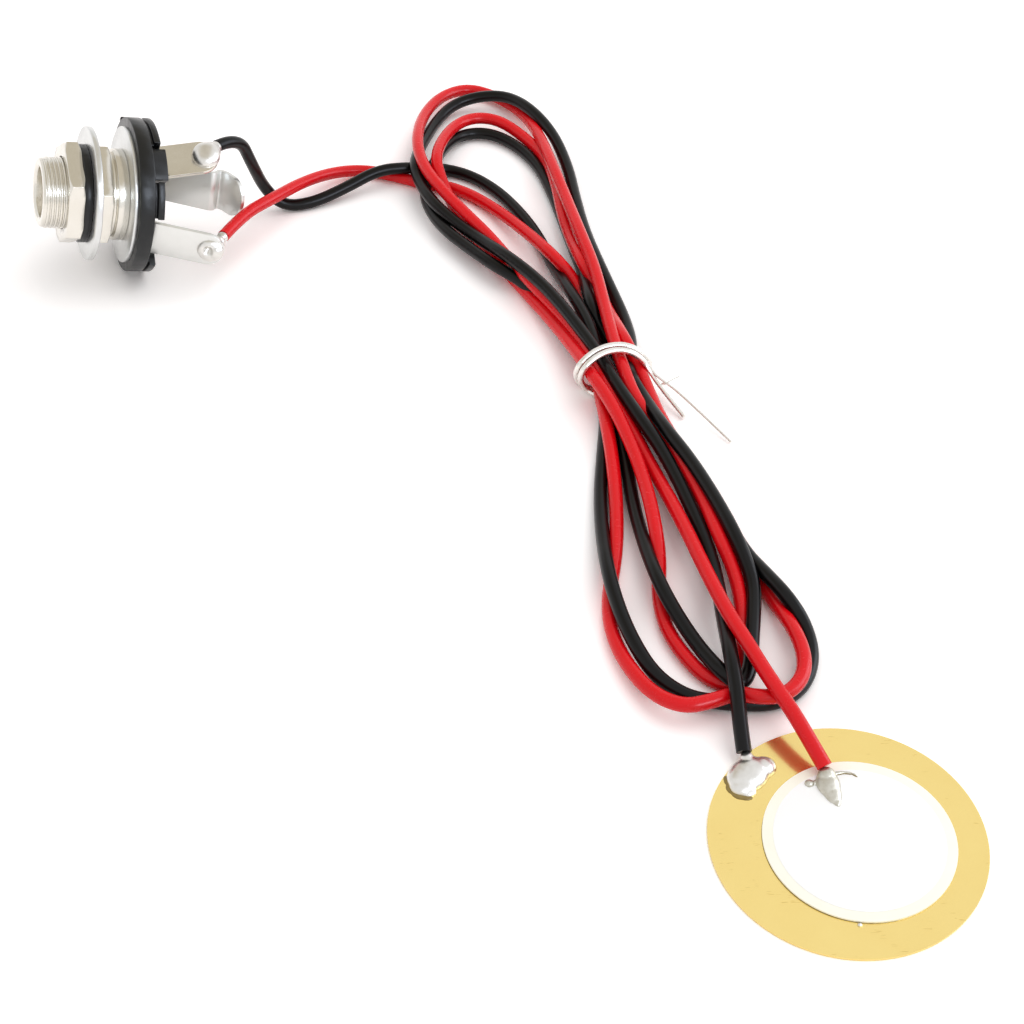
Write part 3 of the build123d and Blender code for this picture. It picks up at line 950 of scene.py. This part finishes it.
@dataclass
class PickupDisc:
    """The brass disc with its ceramic, and the two solder joints on it."""

    joints: tuple[Lump, ...] = (BRASS_JOINT, BRASS_FLUX, CERAMIC_JOINT, CERAMIC_FLUX)
    bead: Lump = STRAY_BEAD
    ceramic_edge: float = 0.06
    silver_edge: float = 0.02
    # Painted shade: a dark line on the lower left arc of the ceramic's edge, where that edge lies in shade
    shade_from_deg: float = 160.0
    shade_to_deg: float = 285.0
    shade_steps: int = 60
    shade_width: float = 0.06
    shade_height: float = 0.16
    shade_end_share: float = 0.15

    def dress(self) -> list[bpy.types.Object]:
        """Give the CAD discs their finishes.

        Returns:
            The discs' objects.
        """
        return [
            dress_node("brass_disc", BRASS),
            dress_node("piezo_ceramic", CERAMIC, self.ceramic_edge),
            dress_node("silver_electrode", SILVER, self.silver_edge),
        ]

    def painted_shade_line(self) -> bpy.types.Object:
        """Painted shade: a dark line along the lower left edge of the ceramic, where that edge lies in shade,
        thinner at its ends.

        Returns:
            The piece's object.
        """
        span = math.radians(self.shade_to_deg - self.shade_from_deg)
        low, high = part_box("piezo_ceramic")
        middle = (low + high) / 2 / MM
        ceramic = (high.x - low.x) / 2 / MM
        inner = ceramic - self.shade_width
        outer = ceramic + self.shade_width
        section = ((inner, 0.0), (outer, 0.0), (inner, self.shade_height))
        shape = bmesh.new()
        face = shape.faces.new([shape.verts.new((radius, 0.0, height)) for radius, height in section])
        bmesh.ops.spin(shape, geom=[face], cent=(0, 0, 0), axis=(0, 0, 1), angle=span, steps=self.shade_steps)
        for vert in shape.verts:
            share = min(max(math.atan2(vert.co.y, vert.co.x) / span, 0.0), 1.0)
            swell = self.shade_end_share + (1 - self.shade_end_share) * math.sqrt(math.sin(math.pi * share))
            reach = vert.co.xy.length
            if reach > ceramic:
                vert.co.xy = vert.co.xy * (ceramic + self.shade_width * swell) / reach
            vert.co.z *= swell
        bmesh.ops.recalc_face_normals(shape, faces=shape.faces)
        turn = Matrix.Rotation(math.radians(self.shade_from_deg), 4, "Z")
        place = Matrix.Translation((middle.x, middle.y, BRASS_TOP))
        bmesh.ops.transform(shape, matrix=place @ turn, verts=shape.verts)
        # The dark line is painted shade, drawn in the rosin finish
        return add_piece("ceramic_painted_shade_line", shape, FLUX)

    def build(self) -> list[bpy.types.Object]:
        """Dress the discs and add the joints, the painted shade line and the bead.

        Returns:
            The disc's pieces.
        """
        return [
            *self.dress(),
            *(joint.build() for joint in self.joints),
            self.painted_shade_line(),
            self.bead.build(),
        ]


@dataclass(frozen=True)
class LugJoint:
    """Solder that holds a wire's end on a lug of the jack.

    The lug is given by its angle round the jack's axis, how far its bend lies from the axis, how far its end
    leans outward, how far that end lies behind the insulator, and the joint's place from its bend to its end.
    The lobes and the pit are in the lug's frame: x across it, y along it to its end, z out of its face.
    The run of solder to the wire is given by shares of the way to the wire's end, with half sizes.
    """

    name: str
    node: str
    turn_deg: float
    foot: float
    splay: float
    length: float
    place_share: float
    wire_end: Point
    lobes: tuple[Lobe, ...]
    run_shares: tuple[tuple[float, Point], ...]
    pit: Point | None = None
    pit_radius: float = 0.85
    pit_depth: float = 0.8
    voxel_mm: float = 0.07
    smooth_steps: int = 8

    def face_frame(self, axes: Matrix, sheet: float) -> Matrix:
        """Frame on the outer face of the lug.

        Args:
            axes: Matrix from the jack's own axes to the part's frame.
            sheet: Thickness of the lug.

        Returns:
            Matrix from the lug's frame to the part's frame.
        """
        half_sheet = sheet / 2
        turn = math.radians(self.turn_deg)
        outward = Vector((math.cos(turn), math.sin(turn), 0.0))
        around = Vector((-math.sin(turn), math.cos(turn), 0.0))
        drop = self.length - half_sheet
        run = (outward * self.splay - Vector((0, 0, drop))).normalized()
        face = around.cross(run)
        if face.dot(outward) < 0:
            face = -face
        out = self.foot + self.splay * self.place_share
        spot = outward * out - Vector((0, 0, half_sheet + drop * self.place_share))
        turned = Matrix((run.cross(face), run, face)).transposed().to_4x4()
        return axes @ Matrix.Translation(spot + face * half_sheet) @ turned

    def build(self, axes: Matrix, sheet: float) -> bpy.types.Object:
        """Run the lobes together on the lug, and press the pit where there is one.

        Args:
            axes: Matrix from the jack's own axes to the part's frame.
            sheet: Thickness of the lug.

        Returns:
            The piece's object.
        """
        base = self.face_frame(axes, sheet)
        end = base.inverted() @ Vector(self.wire_end)
        run = [Lobe(tuple(end * share), radii) for share, radii in self.run_shares]
        lump = melt([*self.lobes, *run], base, self.voxel_mm, self.smooth_steps)
        if self.pit:
            inward = base.to_3x3() @ Vector((0, 0, -1))
            dent(lump, base @ Vector(self.pit), inward, self.pit_radius, self.pit_depth)
        return add_piece(self.name, lump, SOLDER, (self.node,))


# Red wire: a low dome on the tip lug, with a pit beside its bright side
TIP_JOINT = LugJoint(
    name="tip_solder_lump",
    node="tip_solder",
    turn_deg=-10.0,
    foot=7.7,
    splay=2.6,
    length=9.2,
    place_share=0.82,
    wire_end=RED_WIRE.jack_end[0],
    lobes=(
        Lobe((0.0, 0.0, -0.1), (1.75, 1.75, 0.9)),
        Lobe((-0.2, 0.7, 0.2), (1.1, 1.0, 0.8)),
        Lobe((0.0, 0.2, -0.7), (1.2, 1.2, 0.7)),
    ),
    run_shares=((0.55, (1.0, 1.0, 0.8)), (0.9, (0.75, 0.75, 0.7))),
    pit=(-0.4, -0.35, 0.8),
)
# Black wire: a high dome that covers the end of the sleeve lug
SLEEVE_JOINT = LugJoint(
    name="sleeve_solder_lump",
    node="sleeve_solder",
    turn_deg=73.0,
    foot=5.9,
    splay=2.1,
    length=8.8,
    place_share=0.82,
    wire_end=BLACK_WIRE.jack_end[0],
    lobes=(
        Lobe((0.0, 0.1, 0.1), (1.95, 1.8, 1.25)),
        Lobe((0.0, 0.0, -0.8), (1.3, 1.3, 0.7)),
    ),
    run_shares=((0.45, (1.4, 1.3, 1.1)), (0.85, (0.85, 0.85, 0.8))),
)


@dataclass
class Jack:
    """The jack socket: turned bushing with its thread, stacked rings and nuts, insulator and contacts.

    Stations along the axis are measured from the insulator, forward. Each row of the dressing has a CAD
    node, its finish and the width of its softened edges.
    """

    reach: tuple[float, float] = (-80.5, 94.2)
    yaw_deg: float = 18.8
    tilt_deg: float = 14.5
    insulator_dia: float = 19.6
    sheet: float = 0.5
    bore: float = 6.4
    rear_end: float = -1.0
    flare_dia: float = 9.6
    flare_front: float = -0.5
    stem_dia: float = 8.0
    shoulder_from: float = 2.35
    shoulder_to: float = 4.45
    shoulder_dia: float = 11.6
    groove_from: float = 3.75
    groove_slope: float = 0.2
    groove_dia: float = 10.6
    collar_dia: float = 11.2
    front_end: float = 12.8
    front_chamfer: float = 0.25
    crest_chamfer: float = 0.2
    thread_dia: float = 9.0
    thread_depth: float = 0.14
    thread_sink: float = 0.05
    thread_pitch: float = 0.55
    thread_from: float = 9.4
    thread_to: float = 12.3
    flank_share: float = 0.44
    flat_share: float = 0.22
    edge: float = 0.07
    sharp_deg: float = 30.0
    turn_steps: int = 96
    joints: tuple[LugJoint, ...] = (TIP_JOINT, SLEEVE_JOINT)
    dressing: tuple[tuple[str, Finish, float], ...] = (
        ("rear_washer", ZINC, 0.08),
        ("front_washer", ZINC, 0.12),
        ("black_ring", MOULDING, 0.12),
        ("rear_nut", NICKEL, 0.08),
        ("front_nut", NICKEL, 0.08),
        ("insulator_body", MOULDING, 0.12),
        ("sleeve_lug", NICKEL, 0.07),
        ("tip_contact", STRIP, 0.07),
    )

    def axes(self) -> Matrix:
        """Matrix from the jack's own axes, with z out of the front, to the part's frame.

        Returns:
            The matrix, whose origin is the middle of the insulator.
        """
        yaw = math.radians(self.yaw_deg)
        tilt = math.radians(self.tilt_deg)
        front = Vector((-math.cos(tilt) * math.cos(yaw), -math.cos(tilt) * math.sin(yaw), math.sin(tilt)))
        side = Vector((math.sin(yaw), -math.cos(yaw), 0.0))
        turn = Matrix((side, front.cross(side), front)).transposed().to_4x4()
        height = self.insulator_dia / 2 * math.cos(tilt)
        return Matrix.Translation((*self.reach, height)) @ turn

    def turned(self, profile: list[tuple[float, float]]) -> bmesh.types.BMesh:
        """Turn a closed profile of radius and station about the axis.

        Args:
            profile: Corners of the section.

        Returns:
            The turned shape, in the jack's own axes.
        """
        shape = bmesh.new()
        corners = [shape.verts.new((radius, 0.0, station)) for radius, station in profile]
        sides = [shape.edges.new((corners[i - 1], corners[i])) for i in range(len(corners))]
        bmesh.ops.spin(
            shape,
            geom=[*corners, *sides],
            cent=(0, 0, 0),
            axis=(0, 0, 1),
            angle=math.tau,
            steps=self.turn_steps,
            use_merge=True,
        )
        bmesh.ops.remove_doubles(shape, verts=shape.verts, dist=MERGE_MM)
        bmesh.ops.recalc_face_normals(shape, faces=shape.faces)
        least = math.radians(self.sharp_deg)
        sharp = [edge for edge in shape.edges if edge.is_manifold and edge.calc_face_angle() > least]
        bmesh.ops.bevel(
            shape,
            geom=sharp,
            offset=self.edge,
            segments=BEVEL_SEGMENTS,
            profile=0.5,
            affect="EDGES",
            material=-1,
        )
        return shape

    def bushing(self) -> bpy.types.Object:
        """Turned bushing: flare, stem, grooved shoulder, thread core and bore.

        Returns:
            The piece's object.
        """
        bore = self.bore / 2
        flare = self.flare_dia / 2
        stem = self.stem_dia / 2
        shoulder = self.shoulder_dia / 2
        groove = self.groove_dia / 2
        core = self.thread_dia / 2 - self.thread_depth
        lip = self.front_end - self.front_chamfer
        profile = [
            (bore, self.rear_end),
            (flare, self.rear_end),
            (flare, self.flare_front),
            (stem, self.flare_front),
            (stem, self.shoulder_from),
            (shoulder, self.shoulder_from),
            (shoulder, self.groove_from),
            (groove, self.groove_from + self.groove_slope),
            (groove, self.shoulder_to - self.groove_slope),
            (self.collar_dia / 2, self.shoulder_to),
            (core, self.shoulder_to),
            (core, lip),
            (core - self.crest_chamfer, self.front_end),
            (bore + self.front_chamfer, self.front_end),
            (bore, lip),
        ]
        shape = self.turned(profile)
        bmesh.ops.transform(shape, matrix=self.axes(), verts=shape.verts)
        return add_piece("bushing_turned", shape, NICKEL, ("jack_bushing",))

    def thread(self) -> bpy.types.Object:
        """The thread's ridge, one closed rib wound round the core.

        Returns:
            The piece's object.
        """
        crest = self.thread_dia / 2
        root = crest - self.thread_depth - self.thread_sink
        flank = self.flank_share * self.thread_pitch
        flat = self.flat_share * self.thread_pitch
        section = [(root, -flank), (crest, -flat), (crest, flat), (root, flank)]
        shape = bmesh.new()
        corners = [shape.verts.new((radius, 0.0, self.thread_from + lift)) for radius, lift in section]
        face = shape.faces.new(corners)
        advance = self.thread_to - self.thread_from
        turns = advance / self.thread_pitch
        steps = round(turns * self.turn_steps)
        bmesh.ops.spin(
            shape,
            geom=[face],
            cent=(0, 0, 0),
            axis=(0, 0, 1),
            dvec=(0, 0, advance / steps),
            angle=math.tau * turns,
            steps=steps,
        )
        bmesh.ops.remove_doubles(shape, verts=shape.verts, dist=MERGE_MM)
        bmesh.ops.recalc_face_normals(shape, faces=shape.faces)
        bmesh.ops.transform(shape, matrix=self.axes(), verts=shape.verts)
        return add_piece("bushing_thread", shape, NICKEL)

    def build(self) -> list[bpy.types.Object]:
        """Make the whole jack.

        Returns:
            The jack's pieces, which are on the wires' far end.
        """
        turned = [self.bushing(), self.thread()]
        soldered = [joint.build(self.axes(), self.sheet) for joint in self.joints]
        dressed = [dress_node(*row) for row in self.dressing]
        return [*turned, *soldered, *dressed]


@dataclass
class TwistTie:
    """Galvanised wire, wound twice round the waist of the hank, with two loose tails.

    Its points are where the photograph shows them: pixels across and down, and height in millimetres.
    """

    wire_dia: float = 0.75
    tail_dia: float = 0.5
    thin_dia: float = 0.32
    curve_steps: int = 10
    round_steps: int = 4
    upper_turn: tuple[Point, ...] = (
        (580, 384, 0.8), (575, 375, 3.2), (580, 363, 5.6), (597, 349, 5.8), (617, 344, 5.7), (633, 347, 5.3),
        (646, 355, 4.0), (651, 367, 2.0), (641, 380, 0.4), (612, 388, 0.4), (592, 390, 0.4),
    )
    lower_turn: tuple[Point, ...] = (
        (585, 388, 0.8), (579, 379, 3.4), (585, 366, 5.7), (600, 354, 5.9), (618, 349, 5.8), (635, 353, 5.2),
        (648, 365, 3.0), (647, 380, 0.6), (620, 392, 0.4), (596, 396, 0.4),
    )
    long_tail: tuple[Point, ...] = (
        (646, 360, 3.2), (652, 372, 2.6), (662, 380, 2.0), (676, 390, 1.6), (704, 416, 0.9), (731, 442, 0.3),
    )
    short_tail: tuple[Point, ...] = ((645, 364, 3.4), (650, 372, 2.4), (660, 387, 1.5), (684, 417, 0.4))
    hook: tuple[Point, ...] = ((662, 384, 1.7), (667, 384, 2.0), (673, 380, 2.2), (680, 377, 2.3))

    def lay(
        self,
        name: str,
        routes: Sequence[tuple[Point, ...]],
        diameter: float,
        closed: bool = False,
    ) -> bpy.types.Object:
        """Make wire of one thickness along routes in the photograph.

        Args:
            name: Name of the piece.
            routes: Points of each route.
            diameter: Thickness of the wire.
            closed: Whether the routes close on themselves.

        Returns:
            The piece's object, without a finish.
        """
        marks = [np.array(route) for route in routes]
        runs = [CAMERA.at_height(CAMERA.rays(spots[:, :2]), spots[:, 2]) for spots in marks]
        return lay_wire(name, runs, diameter, self.curve_steps, self.round_steps, closed)

    def build(self) -> list[bpy.types.Object]:
        """Make the turns and the tails.

        Returns:
            The tie's pieces.
        """
        turns = self.lay("tie_turns", (self.upper_turn, self.lower_turn), self.wire_dia, closed=True)
        short = self.lay("tie_short_tail", (self.short_tail,), self.tail_dia)
        long = self.lay("tie_long_tail", (self.long_tail, self.hook), self.thin_dia)
        settle_piece(turns, TIE_METAL, ("twist_tie",))
        settle_piece(short, TIE_METAL)
        settle_piece(long, TIE_METAL)
        return [turns, short, long]


@dataclass(frozen=True)
class Card:
    """A flat glowing card that only reflections see, which gives the metal its bands. Sizes are in metres."""

    name: str
    middle: Point
    half_width: float
    half_depth: float
    faces: Point
    colour: str
    strength: float = 1.0

    def build(self) -> bpy.types.Object:
        """Make the card.

        Returns:
            The card's object.
        """
        shape = bmesh.new()
        bmesh.ops.create_grid(shape, x_segments=1, y_segments=1, size=1.0)
        bmesh.ops.scale(shape, vec=(self.half_width, self.half_depth, 1.0), verts=shape.verts)
        turn = Vector(self.faces).to_track_quat("Z", "Y").to_matrix().to_4x4()
        bmesh.ops.transform(shape, matrix=Matrix.Translation(self.middle) @ turn, verts=shape.verts)
        card = place_mesh(self.name, shape)
        material = bpy.data.materials.new(self.name)
        material.use_nodes = True
        shader = material.node_tree.nodes["Principled BSDF"]
        shader.inputs["Base Color"].default_value = (0.0, 0.0, 0.0, 1.0)
        shader.inputs["Specular IOR Level"].default_value = 0.0
        shader.inputs["Emission Color"].default_value = linear(self.colour)
        shader.inputs["Emission Strength"].default_value = self.strength
        card.data.materials.append(material)
        card.visible_camera = False
        card.visible_diffuse = False
        card.visible_shadow = False
        return card


# Warm grey over the jack, which its upper faces mirror
CANOPY = Card("canopy", (-0.075, 0.13, 0.09), 0.045, 0.09, (0.0, 0.0, -1.0), "#D8D1C2")
# A small bright pane in front at the right: the narrow highlights on wires and solder
WINDOW = Card("window", (0.21, -0.24, 0.24), 0.13, 0.075, (-0.585, 0.676, -0.447), "#E6F0FF", 9.0)
# A broad pane low at the right: the sheen on the right sides of the wires and the jack
SIDE_LIGHT = Card("side_light", (0.42, 0.10, 0.15), 0.22, 0.14, (-0.94, -0.1, -0.32), "#EEF4FF", 4.0)


@dataclass(frozen=True)
class Studio:
    """A white floor under even white light, with one large soft lamp high at the right and behind.

    Sizes are in metres, apart from the floor's level. The camera and reflections see the floor in its own
    shade, which stays white and still takes the shadows.
    """

    floor_size: float = 4.0
    floor_level_mm: float = -0.02
    floor_colour: str = "#F5EFEE"
    floor_seen: Colour = (1.20, 1.17, 1.16, 1.0)
    fill_strength: float = 0.83
    key_place: Point = (0.34, 0.24, 0.72)
    key_aim: Point = (-0.035, 0.06, 0.0)
    key_size: float = 0.8
    key_power: float = 2.6
    cards: tuple[Card, ...] = (CANOPY, WINDOW, SIDE_LIGHT)

    def floor(self) -> bpy.types.Object:
        """Make the floor, a sweep of matt white board, which has no shine of its own.

        Returns:
            The floor's object.
        """
        shape = bmesh.new()
        bmesh.ops.create_grid(shape, x_segments=1, y_segments=1, size=self.floor_size / 2)
        bmesh.ops.translate(shape, verts=shape.verts, vec=(0, 0, self.floor_level_mm * MM))
        floor = place_mesh("floor", shape)
        material = bpy.data.materials.new("white_sweep")
        material.use_nodes = True
        tree = material.node_tree
        tree.nodes.clear()
        shade = add_node(
            tree,
            "ShaderNodeMixRGB",
            {"Color1": linear(self.floor_colour), "Color2": self.floor_seen},
            {"Fac": self.seen(tree)},
        )
        diffuse = add_node(tree, "ShaderNodeBsdfDiffuse", links={"Color": shade.outputs["Color"]})
        add_node(tree, "ShaderNodeOutputMaterial", links={"Surface": diffuse.outputs["BSDF"]})
        floor.data.materials.append(material)
        return floor

    @staticmethod
    def seen(tree: bpy.types.NodeTree) -> bpy.types.NodeSocket:
        """Tell the rays that show the background: camera, glossy and transmission rays.

        Args:
            tree: Node tree that asks.

        Returns:
            Output socket that is one for those rays and zero for the others.
        """
        path = add_node(tree, "ShaderNodeLightPath")
        either = add_node(
            tree,
            "ShaderNodeMath",
            links={0: path.outputs["Is Camera Ray"], 1: path.outputs["Is Glossy Ray"]},
            operation="MAXIMUM",
        )
        every = add_node(
            tree,
            "ShaderNodeMath",
            links={0: either.outputs["Value"], 1: path.outputs["Is Transmission Ray"]},
            operation="MAXIMUM",
        )
        return every.outputs["Value"]

    def world(self) -> None:
        """Soft white light from all round, seen as white."""
        world = bpy.data.worlds.new("studio")
        world.use_nodes = True
        tree = world.node_tree
        strength = add_node(
            tree,
            "ShaderNodeMapRange",
            {"To Min": self.fill_strength, "To Max": 1.0},
            {"Value": self.seen(tree)},
        )
        background = tree.nodes["Background"]
        background.inputs["Color"].default_value = (1.0, 1.0, 1.0, 1.0)
        tree.links.new(strength.outputs["Result"], background.inputs["Strength"])
        bpy.context.scene.world = world

    def key(self) -> bpy.types.Object:
        """One large soft lamp, which no reflection shows.

        Returns:
            The lamp's object.
        """
        data = bpy.data.lights.new("key", "AREA")
        data.energy = self.key_power
        data.size = self.key_size
        lamp = bpy.data.objects.new("key", data)
        lamp.location = self.key_place
        aim = Vector(self.key_aim) - lamp.location
        lamp.rotation_euler = aim.to_track_quat("-Z", "Y").to_euler()
        lamp.visible_glossy = False
        bpy.context.scene.collection.objects.link(lamp)
        return lamp

    def build(self) -> None:
        """Make the floor, the cards, the world and the lamp."""
        bpy.context.scene.view_settings.view_transform = "Standard"
        self.floor()
        for card in self.cards:
            card.build()
        self.world()
        self.key()


def main() -> None:
    """Build the studio and every sub-assembly in order, and report each piece."""
    logging.basicConfig(level=logging.INFO)
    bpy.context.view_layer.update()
    CAMERA.build()
    Studio().build()
    red, black = Hank((RED_WIRE, BLACK_WIRE)).build()
    disc = PickupDisc().build()
    jack = Jack().build()
    tie = TwistTie().build()
    for piece in (red, black, *disc, *jack, *tie):
        LOG.info("piece %s", piece.name)


if __name__ == "__main__":
    main()
